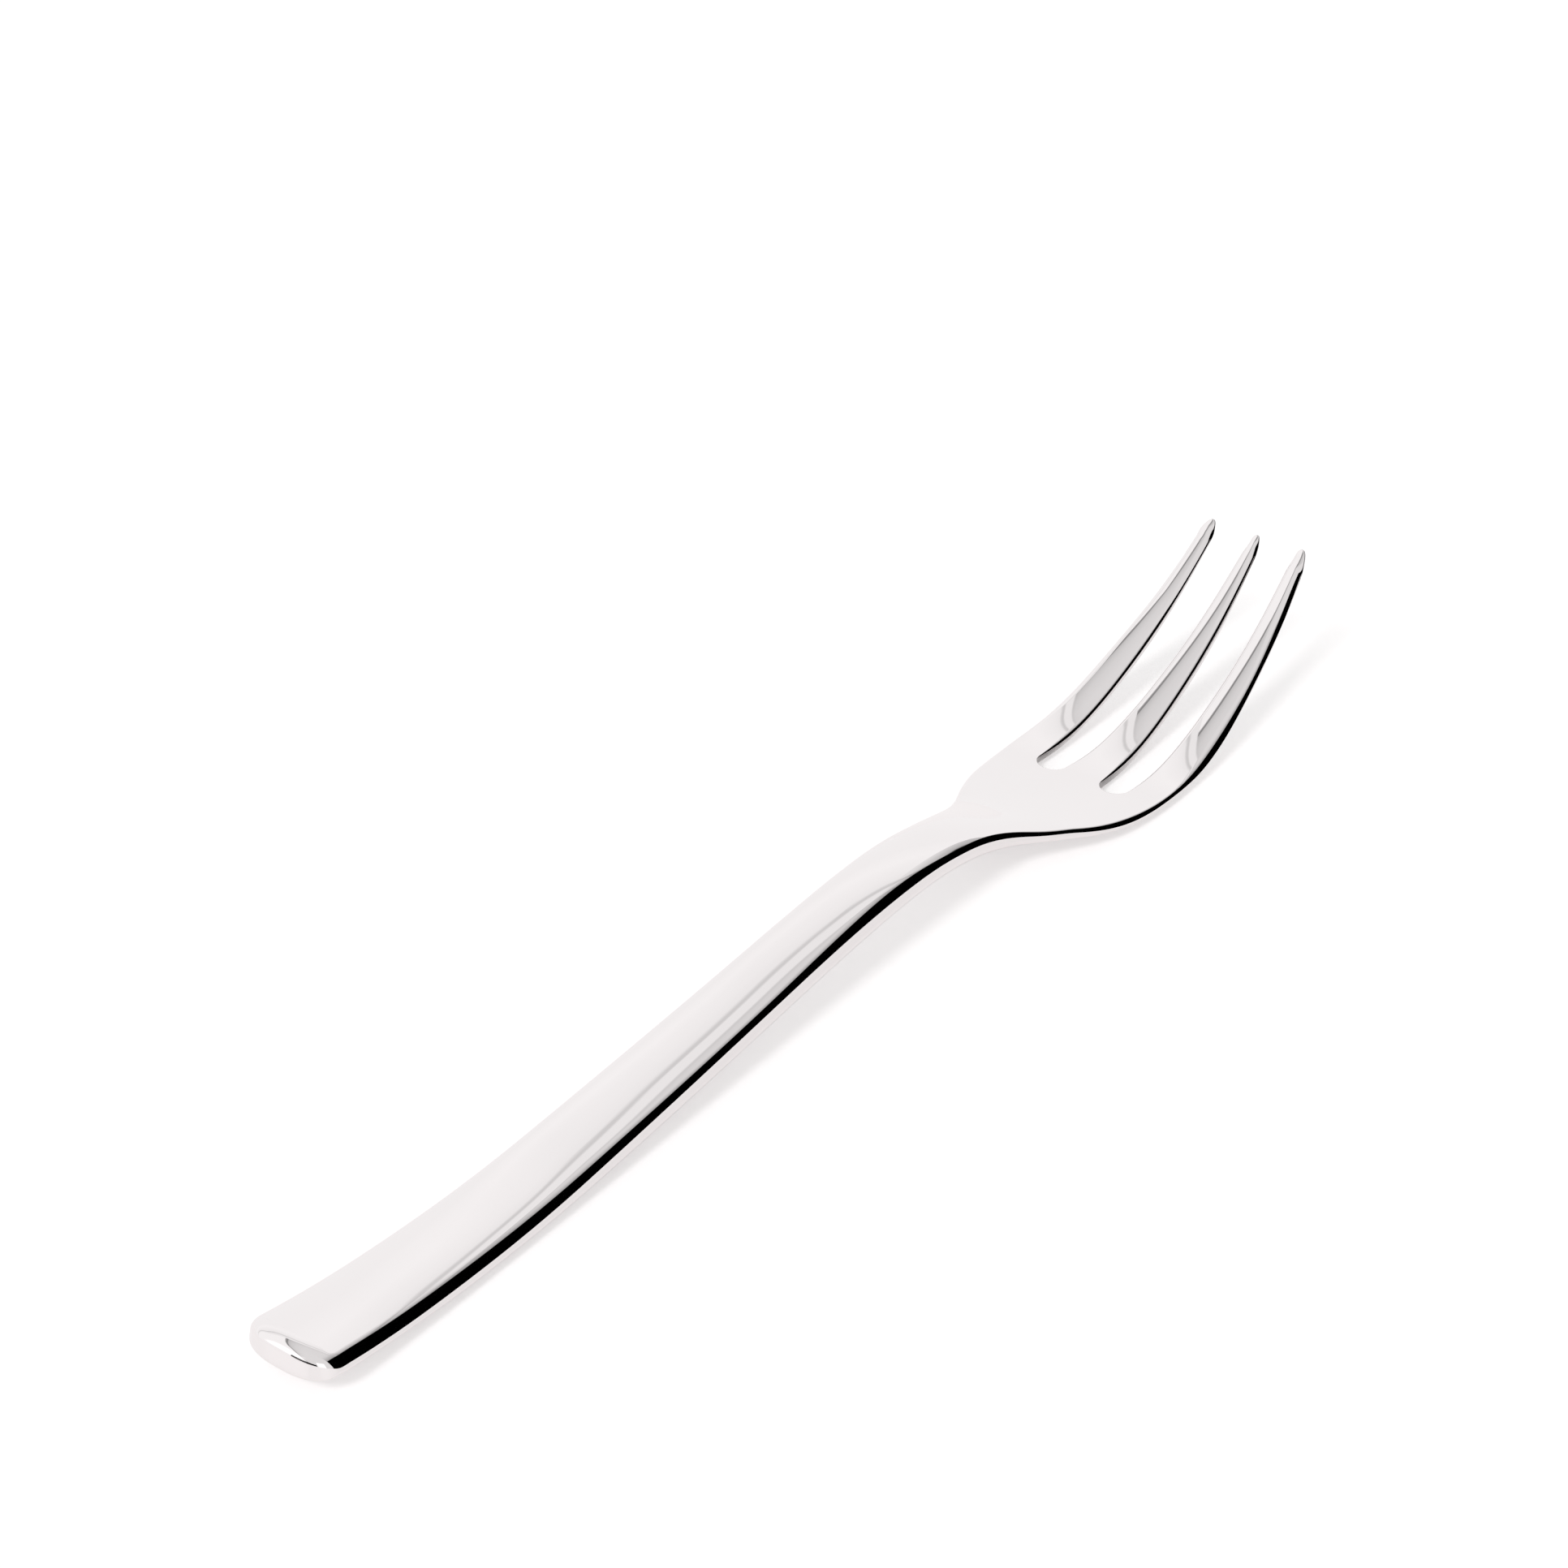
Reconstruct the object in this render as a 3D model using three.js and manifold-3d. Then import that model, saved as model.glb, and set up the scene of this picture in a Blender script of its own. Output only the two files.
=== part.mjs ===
// Fish fork: a slim one-piece steel fork with three tines, lying on its back.
// Millimetres, +X towards the points, +Z up, origin on the table under the middle of its box.
import * as THREE from 'three';
import { mergeVertices } from 'three/addons/utils/BufferGeometryUtils.js';
import Module from 'manifold-3d';

// Lengths, from the butt of the handle to the points
const HANDLE_LENGTH = 88;
const NECK_LENGTH = 25;
const BASE_LENGTH = 29;
const TINE_LENGTH = 38;

// Widths seen from above
const BUTT_WIDTH = 12.32;
const HANDLE_HALFWAY_WIDTH = 10;
const NECK_WIDTH = 8.8;
const HEAD_WIDTH = 22.84;
const TIP_SPAN = 15.24;
const MIDDLE_TINE_ROOT = 5.5;
const MIDDLE_TINE_HALFWAY = 4;
const TIP_WIDTH = 1.85;
const SLOT_WIDTH = 3.76;

// Rounding seen from above
const BUTT_ROUND = 3.6;
const TIP_ROUND = 2;
const END_FULLNESS = 2.6;
const SHOULDER_HOLLOW = 13.5;
const SHOULDER_SWELL = 16;

// The underside, seen from the side
const BUTT_LIFT = 2;
const REST_FROM_BUTT = 29;
const REST_FLAT = 6;
const CREST_FROM_NECK = 17;
const CREST_HEIGHT = 5.8;
const HANDLE_SWEEP = 24;
const CREST_BEND = 12;
const BELLY_BEND = 6;
const BELLY_FLAT = 2;
const ROOT_FLAT = 2;
const TIP_HEIGHT = 18.15;

// Thickness of the edge band, then the rise of the crowned top above it
const BUTT_THICKNESS = 3.35;
const GRIP_THICKNESS = 3.2;
const HANDLE_END_THICKNESS = 4.1;
const NECK_THICKNESS = 3.75;
const BASE_THICKNESS = 1.55;
const TINE_THICKNESS = 1.65;
const TINE_TAPER = 13;
const TIP_THICKNESS = 0.75;
const HANDLE_CROWN = 0.45;
const NECK_CROWN = 0.35;
const BASE_CROWN = 0.05;

// How far the rounded edge reaches in from the side
const HANDLE_EDGE = 2.1;
const NECK_EDGE = 1.8;
const BASE_EDGE = 0.8;
const TIP_EDGE = 0.4;

// Fineness of the surface
const EDGE_STEPS = 6;
const CROWN_STEPS = 4;
const ROUND_STEPS = 5;
const STATION_SPACING = 3.5;
const SLOT_SIDES = 32;
const HALVINGS = 48;

const OVERALL_LENGTH = HANDLE_LENGTH + NECK_LENGTH + BASE_LENGTH + TINE_LENGTH;
const neckAt = HANDLE_LENGTH;
const baseAt = neckAt + NECK_LENGTH;
const tineAt = baseAt + BASE_LENGTH;
const crestAt = neckAt + CREST_FROM_NECK;
const bellyAt = tineAt - BELLY_FLAT;
const bellyEnd = tineAt + ROOT_FLAT;
const restStart = REST_FROM_BUTT - REST_FLAT / 2;
const restEnd = REST_FROM_BUTT + REST_FLAT / 2;
const slotMiddle = MIDDLE_TINE_ROOT / 2 + SLOT_WIDTH / 2;

const point = (x, y) => new THREE.Vector2(x, y);

// A parabola that leaves the level point and climbs or drops to the other end
const levelParabola = (level, end) => new THREE.QuadraticBezierCurve(
  level, point((level.x + end.x) / 2, level.y), end);

// An even curve from one end to the other that passes through a given height halfway
const throughHalfway = (start, halfway, end) => new THREE.QuadraticBezierCurve(
  start, point((start.x + end.x) / 2, 2 * halfway - (start.y + end.y) / 2), end);

// An S-shaped curve that is level at both ends
const levelSweep = (start, startReach, end, endReach) => new THREE.CubicBezierCurve(
  start, point(start.x + startReach, start.y), point(end.x - endReach, end.y), end);

// Height of a chain of curves at a distance along the fork; each curve runs one way along x
function heightAt(curves, distance) {
  const curve = curves.find((each) => distance <= Math.max(each.getPoint(0).x, each.getPoint(1).x))
    ?? curves[curves.length - 1];
  const rising = curve.getPoint(1).x > curve.getPoint(0).x;
  let low = 0;
  let high = 1;
  for (let step = 0; step < HALVINGS; step += 1) {
    const middle = (low + high) / 2;
    const before = curve.getPoint(middle).x < distance;
    if (before === rising) low = middle;
    else high = middle;
  }
  return curve.getPoint((low + high) / 2).y;
}

// A value that eases from key to key along the fork
function easedAt(keys, distance) {
  let index = keys.findIndex(([at]) => at >= distance);
  if (index < 0) index = keys.length - 1;
  if (index === 0) return keys[0][1];
  const [from, first] = keys[index - 1];
  const [to, second] = keys[index];
  return THREE.MathUtils.lerp(first, second, THREE.MathUtils.smoothstep(distance, from, to));
}

const underside = [
  levelParabola(point(restStart, 0), point(0, BUTT_LIFT)),
  new THREE.LineCurve(point(restStart, 0), point(restEnd, 0)),
  levelSweep(point(restEnd, 0), HANDLE_SWEEP, point(crestAt, CREST_HEIGHT), CREST_BEND),
  levelSweep(point(crestAt, CREST_HEIGHT), CREST_BEND, point(bellyAt, 0), BELLY_BEND),
  new THREE.LineCurve(point(bellyAt, 0), point(bellyEnd, 0)),
  levelParabola(point(bellyEnd, 0), point(OVERALL_LENGTH, TIP_HEIGHT)),
];

const outerEdge = [
  throughHalfway(point(0, BUTT_WIDTH / 2), HANDLE_HALFWAY_WIDTH / 2, point(baseAt, NECK_WIDTH / 2)),
  levelSweep(point(baseAt, NECK_WIDTH / 2), SHOULDER_HOLLOW, point(tineAt, HEAD_WIDTH / 2), SHOULDER_SWELL),
  levelParabola(point(tineAt, HEAD_WIDTH / 2), point(OVERALL_LENGTH, TIP_SPAN / 2)),
];

const middleEdge = [
  throughHalfway(
    point(tineAt, MIDDLE_TINE_ROOT / 2), MIDDLE_TINE_HALFWAY / 2, point(OVERALL_LENGTH, TIP_WIDTH / 2)),
];

const innerEdge = [
  new THREE.LineCurve(
    point(tineAt, slotMiddle + SLOT_WIDTH / 2), point(OVERALL_LENGTH, TIP_SPAN / 2 - TIP_WIDTH)),
];

const thickness = [
  [0, BUTT_THICKNESS], [REST_FROM_BUTT, GRIP_THICKNESS], [neckAt, HANDLE_END_THICKNESS], [crestAt, NECK_THICKNESS],
  [bellyAt, BASE_THICKNESS], [tineAt, BASE_THICKNESS], [OVERALL_LENGTH - TINE_TAPER, TINE_THICKNESS],
  [OVERALL_LENGTH, TIP_THICKNESS],
];
const crown = [
  [neckAt, HANDLE_CROWN], [crestAt, NECK_CROWN], [baseAt + BASE_LENGTH / 2, BASE_CROWN],
];
const edgeReach = [
  [neckAt, HANDLE_EDGE], [crestAt, NECK_EDGE], [bellyAt, BASE_EDGE], [OVERALL_LENGTH, TIP_EDGE],
];

// One closed cross-section: flat below, crowned above, with rounded edges on both sides.
// Shrink draws it together about its middle height, to close an end.
function sectionRing(distance, right, left, shrink = 1) {
  const middle = (left + right) / 2;
  const half = ((left - right) / 2) * shrink;
  const reach = Math.min(easedAt(edgeReach, distance) * shrink, half);
  const deep = easedAt(thickness, distance);
  const centre = heightAt(underside, distance) + deep / 2;
  const x = distance - OVERALL_LENGTH / 2;
  const flat = half - reach;
  const ring = [];
  for (const side of [1, -1]) {
    for (let step = 0; step <= EDGE_STEPS; step += 1) {
      const angle = side * (step / EDGE_STEPS - 0.5) * Math.PI;
      ring.push(new THREE.Vector3(
        x,
        middle + side * (flat + reach * Math.cos(angle)),
        centre + (deep / 2) * shrink * Math.sin(angle)));
    }
    if (side < 0) break;
    for (let step = 1; step < CROWN_STEPS; step += 1) {
      const across = 1 - (2 * step) / CROWN_STEPS;
      const rise = easedAt(crown, distance) * (1 - across * across);
      ring.push(new THREE.Vector3(x, middle + flat * across, centre + (deep / 2 + rise) * shrink));
    }
  }
  return ring;
}

// A closed skin over a row of cross-sections, with a flat cap on each end
function skin(rings) {
  const count = rings[0].length;
  const caps = [rings[0], rings[rings.length - 1]].map(
    (ring) => ring.reduce((sum, each) => sum.add(each), new THREE.Vector3()).divideScalar(count));
  const positions = [...rings.flat(), ...caps].flatMap((each) => each.toArray());
  const firstCap = rings.length * count;
  const lastRing = firstCap - count;
  const triangles = [];
  for (let step = 0; step < count; step += 1) {
    const next = (step + 1) % count;
    triangles.push(firstCap, next, step);
    triangles.push(firstCap + 1, lastRing + step, lastRing + next);
    for (let row = 0; row < rings.length - 1; row += 1) {
      const near = row * count;
      const far = near + count;
      triangles.push(near + step, near + next, far + next);
      triangles.push(near + step, far + next, far + step);
    }
  }
  const geometry = new THREE.BufferGeometry();
  geometry.setAttribute('position', new THREE.Float32BufferAttribute(positions, 3));
  geometry.setIndex(triangles);
  return geometry;
}

// Evenly spread distances from one place to another, both included
function stations(from, to) {
  const steps = Math.max(2, Math.ceil((to - from) / STATION_SPACING));
  return Array.from({ length: steps + 1 }, (_, step) => from + ((to - from) * step) / steps);
}

// Distances that close up towards a rounded end along a superellipse, with the share of full size at each
function roundedEnd(depth) {
  return Array.from({ length: ROUND_STEPS }, (_, step) => {
    const angle = ((step + 0.5) / ROUND_STEPS) * (Math.PI / 2);
    const power = 2 / END_FULLNESS;
    return { inward: depth * (1 - Math.cos(angle) ** power), shrink: Math.sin(angle) ** power };
  });
}

function handleGeometry() {
  const full = (distance, shrink) => {
    const half = heightAt(outerEdge, distance);
    return sectionRing(distance, -half, half, shrink);
  };
  const butt = roundedEnd(BUTT_ROUND).map(({ inward, shrink }) => full(inward, shrink));
  const rise = stations(BUTT_ROUND, restStart).map((each) => full(each));
  const onFlat = stations(restStart, restEnd).slice(1).map((each) => full(each));
  const grip = stations(restEnd, neckAt).slice(1).map((each) => full(each));
  return skin([...butt, ...rise, ...onFlat, ...grip]);
}

function plateGeometry(...stops) {
  const distances = stops.slice(1).flatMap((stop, index) => stations(stops[index], stop).slice(index ? 1 : 0));
  return skin(distances.map((distance) => {
    const half = heightAt(outerEdge, distance);
    return sectionRing(distance, -half, half);
  }));
}

// The tine between two edges, drawn to a rounded point
function tineGeometry(rightEdge, leftEdge) {
  const body = [tineAt, ...stations(bellyEnd, OVERALL_LENGTH - TIP_ROUND)].map(
    (distance) => sectionRing(distance, rightEdge(distance), leftEdge(distance)));
  const tip = roundedEnd(TIP_ROUND).reverse().map(({ inward, shrink }) => {
    const distance = OVERALL_LENGTH - inward;
    return sectionRing(distance, rightEdge(distance), leftEdge(distance), shrink);
  });
  return skin([...body, ...tip]);
}

const wasm = await Module();
wasm.setup();

function toSolid(geometry) {
  const bare = new THREE.BufferGeometry();
  bare.setAttribute('position', geometry.getAttribute('position'));
  bare.setIndex(geometry.getIndex());
  const merged = mergeVertices(bare);
  return new wasm.Manifold(new wasm.Mesh({
    numProp: 3,
    vertProperties: new Float32Array(merged.getAttribute('position').array),
    triVerts: new Uint32Array(merged.getIndex().array),
  }));
}

function toGeometry(solid) {
  const mesh = solid.getMesh();
  const geometry = new THREE.BufferGeometry();
  geometry.setAttribute('position', new THREE.BufferAttribute(new Float32Array(mesh.vertProperties), 3));
  geometry.setIndex(new THREE.BufferAttribute(new Uint32Array(mesh.triVerts), 1));
  return geometry;
}

// The flared plate, with a half-round slot bottom between each pair of tines.
// The round cutter reaches as far above and below the table as the neck's crest stands above it.
function baseGeometry() {
  let solid = toSolid(plateGeometry(baseAt, bellyAt, tineAt));
  const tall = 2 * (CREST_HEIGHT + NECK_THICKNESS);
  for (const side of [1, -1]) {
    const bottom = new THREE.CylinderGeometry(SLOT_WIDTH / 2, SLOT_WIDTH / 2, tall, SLOT_SIDES);
    bottom.rotateX(Math.PI / 2);
    bottom.translate(tineAt - OVERALL_LENGTH / 2, side * slotMiddle, 0);
    solid = solid.subtract(toSolid(bottom));
  }
  return toGeometry(solid);
}

const steel = new THREE.MeshStandardMaterial({ color: 0xd9d8d6, roughness: 0.06, metalness: 1 });

const fork = new THREE.Group();

function addPiece(name, geometry) {
  geometry.computeVertexNormals();
  const piece = new THREE.Mesh(geometry, steel);
  piece.name = name;
  fork.add(piece);
}

const outer = (distance) => heightAt(outerEdge, distance);
const inner = (distance) => heightAt(innerEdge, distance);
const centre = (distance) => heightAt(middleEdge, distance);

addPiece('handle', handleGeometry());
addPiece('neck', plateGeometry(neckAt, baseAt));
addPiece('head_base', baseGeometry());
addPiece('tine_left', tineGeometry(inner, outer));
addPiece('tine_middle', tineGeometry((each) => -centre(each), centre));
addPiece('tine_right', tineGeometry((each) => -outer(each), (each) => -inner(each)));

export default fork;
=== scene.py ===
"""Fish fork in mirror-polished steel, lying on its back on a pale studio table."""
import bpy
import math
import numpy as np
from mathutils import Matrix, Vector


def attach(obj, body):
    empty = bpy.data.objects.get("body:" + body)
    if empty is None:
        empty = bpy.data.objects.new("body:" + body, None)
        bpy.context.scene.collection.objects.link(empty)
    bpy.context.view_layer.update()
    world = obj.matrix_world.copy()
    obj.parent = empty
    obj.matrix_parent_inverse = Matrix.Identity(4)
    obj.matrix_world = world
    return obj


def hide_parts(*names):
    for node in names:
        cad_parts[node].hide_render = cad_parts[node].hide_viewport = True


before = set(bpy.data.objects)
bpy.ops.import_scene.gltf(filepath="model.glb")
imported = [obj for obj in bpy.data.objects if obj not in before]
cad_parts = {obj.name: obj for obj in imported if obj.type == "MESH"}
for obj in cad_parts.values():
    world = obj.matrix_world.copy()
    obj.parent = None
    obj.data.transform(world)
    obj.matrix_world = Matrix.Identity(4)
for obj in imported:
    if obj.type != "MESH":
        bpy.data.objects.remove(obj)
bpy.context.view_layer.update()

# The fork is drawn in millimetres from the butt, x along it and z up, and moved into the frame at the end
LENGTH = 180.0
MM = 0.001
NECK_AT = 88.0
BASE_AT = 113.0
TINE_AT = 142.0

# Outline seen from above: half the width, the round ends, and the edges of the slots
HALF_WIDTH = [
    (0, 6.16), (30, 5.49), (60, 4.93), (90, 4.45), (108, 4.37), (117, 4.63), (121, 5.41), (126, 7.55),
    (132, 10.0), (138, 11.13), (146, 11.41), (156, 10.86), (168, 9.42), (180, 7.62),
]
BUTT_ROUND = 4.1
BUTT_FULLNESS = 2.55
TIP_ROUND = 2.4
TIP_FULLNESS = 2.1
SLOT_MIDDLE = 4.63
SLOT_HALF = 1.88
MIDDLE_TINE_HALF = [(142, 2.75), (151, 2.44), (161, 2.0), (171, 1.48), (180, 0.86)]
INNER_EDGE = [(142, 6.51), (161, 6.1), (180, 5.62)]

# Heights of the middle line on top and underneath, seen from the side
TOP_LINE = [
    (0, 5.78), (10, 4.6), (20, 3.88), (30, 3.64), (38, 3.85), (45, 4.38), (60, 5.89), (75, 7.53), (90, 9.33),
    (100, 10.02), (108, 9.6), (116, 7.94), (125, 4.85), (134, 2.61), (143, 1.58), (151, 2.37), (160, 5.52),
    (170, 10.96), (180, 18.7),
]
UNDER_LINE = [
    (0, 1.95), (10, 0.95), (19, 0.24), (29, 0.0), (38, 0.16), (45, 0.55), (60, 1.75), (75, 3.2), (90, 4.8),
    (98, 5.55), (107, 5.8), (116, 4.6), (125, 2.55), (134, 0.92), (143, 0.01), (151, 0.75), (160, 3.8),
    (170, 9.3), (180, 17.95),
]

# Roundness across: the crown on top, where it fades out, how the head's sides stand up, and the tines' own
TOP_CURVATURE = [
    (0, 0.035), (10, 0.048), (20, 0.039), (30, 0.026), (45, 0.021), (60, 0.038), (75, 0.047), (90, 0.055),
    (100, 0.074), (110, 0.091),
]
TOP_QUICKENING = [
    (0, 0.001), (20, 0.0021), (30, 0.0027), (45, 0.0022), (60, 0.0025), (75, 0.0026), (90, 0.0036),
    (100, 0.0043), (110, 0.0045),
]
CROWN_FADE = (109, 128)
DISH_GROWTH = (128, 144)
DISH = 0.004
UNDER_CURVATURE = [
    (0, 0.055), (60, 0.055), (100, 0.05), (116, 0.035), (130, 0.012), (142, 0.008), (180, 0.008),
]
TINE_CURVATURE = [(142, 0.08), (160, 0.08), (180, 0.17)]
TINE_CROWN_OVER = 10.0
TINE_UNDER_CURVATURE = 0.08

# Radius of the rounded edge, along the outside and along the slots, down to where the belly takes over
EDGE_RADIUS = [
    (0, 1.1), (1, 1.35), (2.5, 1.9), (6, 2.25), (20, 2.1), (45, 1.76), (65, 1.47), (75, 1.48), (90, 1.9),
    (100, 1.9), (107, 1.35), (116, 1.16), (126, 0.64), (136, 0.9), (145, 0.72), (155, 1.4), (165, 0.98),
    (172, 1.25), (180, 1.5),
]
SLOT_EDGE_RADIUS = [
    (139, 0.12), (141.5, 0.16), (143.5, 0.36), (146, 0.6), (150, 0.72), (165, 0.83), (180, 0.96),
]
TIP_EDGE_RADIUS = 0.14
OUTER_EDGE_ENDS = (177.3, 178.9)
SLOT_EDGE_ENDS = (178.7, 179.7)
EDGE_END = math.radians(67)
THINNEST_BELLY = 0.05

# The butt's end: its top rolls over softly before the edge, and its face is flatter below the edge
BUTT_ROLL = 3.0
ROLL_END = math.radians(20)
BUTT_FLAT = 1.4
FLAT_AT = math.radians(80)
BUTT_FACE_ENDS = (0.8, 3.2)

# Room for an edge: a share of the half width, measured a little inside the round ends, or mm at the slots
BODY_EDGE_SHARE = 0.86
TINE_EDGE_SHARE = 0.8
BUTT_EDGE_ALLOWANCE = 1.0
TIP_EDGE_ALLOWANCE = 0.25
SLOT_BOTTOM_ROOM = 3.0
SLOT_SIDE_ROOM = 1.6

# Where a round end begins, as a share of its depth, and where the mesh's rows turn round a slot's bottom
BUTT_CORNER = 0.16
TIP_CORNER = 0.1
SLOT_TURN = math.radians(45)
SLOT_MARGIN = 0.75

# Mirror-polished steel: two tints, its gloss and its polishing marks; a noise has a scale and a detail
STEEL_DARKER = (0.887, 0.853, 0.854, 1)
STEEL_LIGHTER = (0.917, 0.882, 0.883, 1)
STEEL_ROUGHNESS = (0.02, 0.05)
TINT_NOISE = (70, 3)
GLOSS_NOISE = (160, 4)
POLISHING_NOISE = (2500, 2)
POLISHING_STRETCH = (0.02, 1, 1)
POLISHING_STRENGTH = 0.5
POLISHING_DEPTH = 5e-7

# Walls at the slots' roots, darkened with painted shade and rougher: their steel, how upright they are, and
# where they lie in metres
SLOT_WALL_SHADE_COLOUR = (0.4, 0.386, 0.385, 1)
SLOT_WALL_ROUGHNESS = 0.3
SLOT_WALL_TILT = (0.55, 0.3)
SHADED_WALL_ENDS = (0.0535, 0.0625)
SLOT_REACH = 0.008
SLOTS_AFTER = 0.046

# Fineness of the mesh, rounds of fitting an edge, and how far back rows bend to follow an end
TINE_COLUMNS = 6
SLOT_COLUMNS = 8
EDGE_STEPS = (12, 12)
ROW_SPACING = 1.1
HEAD_ROW_SPACING = 0.7
END_ROWS = 8
END_CROWDING = 1.3
TURN_ROWS = 4
EDGE_ROUNDS = 25
BRANCH_BEND_REACH = 7.0
BUTT_BEND_REACH = 6.0
TIP_BEND_REACH = 3.0


def smooth_curve(keys):
    """A natural cubic spline through (place, value) keys."""
    at = np.array([key[0] for key in keys], float)
    value = np.array([key[1] for key in keys], float)
    gap = np.diff(at)
    slope = np.diff(value) / gap
    system = np.eye(len(at))
    wanted = np.zeros(len(at))
    for i in range(1, len(at) - 1):
        system[i, i - 1:i + 2] = gap[i - 1], 2 * (gap[i - 1] + gap[i]), gap[i]
        wanted[i] = 6 * (slope[i] - slope[i - 1])
    bend = np.linalg.solve(system, wanted)

    def curve(place):
        place = np.clip(np.asarray(place, float), at[0], at[-1])
        i = np.clip(np.searchsorted(at, place) - 1, 0, len(gap) - 1)
        ahead = (at[i + 1] - place) / gap[i]
        behind = (place - at[i]) / gap[i]
        return (ahead * value[i] + behind * value[i + 1]
                + ((ahead ** 3 - ahead) * bend[i] + (behind ** 3 - behind) * bend[i + 1]) * gap[i] ** 2 / 6)

    return curve


top_line = smooth_curve(TOP_LINE)
under_line = smooth_curve(UNDER_LINE)
top_curvature = smooth_curve(TOP_CURVATURE)
under_curvature = smooth_curve(UNDER_CURVATURE)
top_quickening = smooth_curve(TOP_QUICKENING)
tine_curvature = smooth_curve(TINE_CURVATURE)
outer_radius = smooth_curve(EDGE_RADIUS)
slot_radius = smooth_curve(SLOT_EDGE_RADIUS)
half_width = smooth_curve(HALF_WIDTH)
middle_half = smooth_curve(MIDDLE_TINE_HALF)
inner_edge = smooth_curve(INNER_EDGE)


def closing(inward, depth, fullness):
    """Share of the full width at a distance inward from a rounded end."""
    rest = np.clip(1 - np.asarray(inward, float) / depth, 0, 1)
    return (1 - rest ** fullness) ** (1 / fullness)


def end_inward(share, depth, fullness):
    """How far in a rounded end lies at a share of its full width."""
    return depth * (1 - (1 - np.abs(share) ** fullness) ** (1 / fullness))


def ease(value):
    """A soft step from zero to one."""
    value = np.clip(value, 0, 1)
    return value * value * (3 - 2 * value)


def grown(x, span):
    """From zero before a stretch of the fork to one behind it."""
    return ease((x - span[0]) / (span[1] - span[0]))


def edge_radius(x):
    """Radius of the fork's outer edge, which turns sharp at the points."""
    return outer_radius(x) + (TIP_EDGE_RADIUS - outer_radius(x)) * grown(x, OUTER_EDGE_ENDS)


def slot_edge_radius(x):
    """Radius of the edge along the slots, which turns sharp a little later."""
    return slot_radius(x) + (TIP_EDGE_RADIUS - slot_radius(x)) * grown(x, SLOT_EDGE_ENDS)


def tine_growth(x):
    """How far a tine's own roundness has grown."""
    return grown(x, (TINE_AT, TINE_AT + TINE_CROWN_OVER))


def top_height(x, y, tine=None):
    """Height of the top at a place seen from above; each tine has a crown of its own."""
    crown = (1 - grown(x, CROWN_FADE)) * (top_curvature(x) * y ** 2 / 2 + top_quickening(x) * y ** 4 / 4)
    height = top_line(x) - crown + grown(x, DISH_GROWTH) * DISH * y ** 2 / 2
    if tine is not None:
        height = height - tine_growth(x) * tine_curvature(x) * (y - tine(x)) ** 2 / 2
    return height


def under_height(x, y, tine=None):
    """Height of the underside at a place seen from above."""
    height = under_line(x) + (under_curvature(x) + grown(x, DISH_GROWTH) * DISH) * y ** 2 / 2
    if tine is not None:
        height = height + tine_growth(x) * TINE_UNDER_CURVATURE * (y - tine(x)) ** 2 / 2
    return height


def along(path, parameter, inside):
    """Points of an outline path and their inward normals; inside is +1 where the body lies on its left."""
    step = 1e-4
    before = np.stack(path(parameter - step), -1)
    after = np.stack(path(parameter + step), -1)
    tangent = after - before
    normal = inside * np.stack([-tangent[..., 1], tangent[..., 0]], -1)
    return np.stack(path(parameter), -1), normal / np.linalg.norm(normal, axis=-1, keepdims=True)


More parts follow.
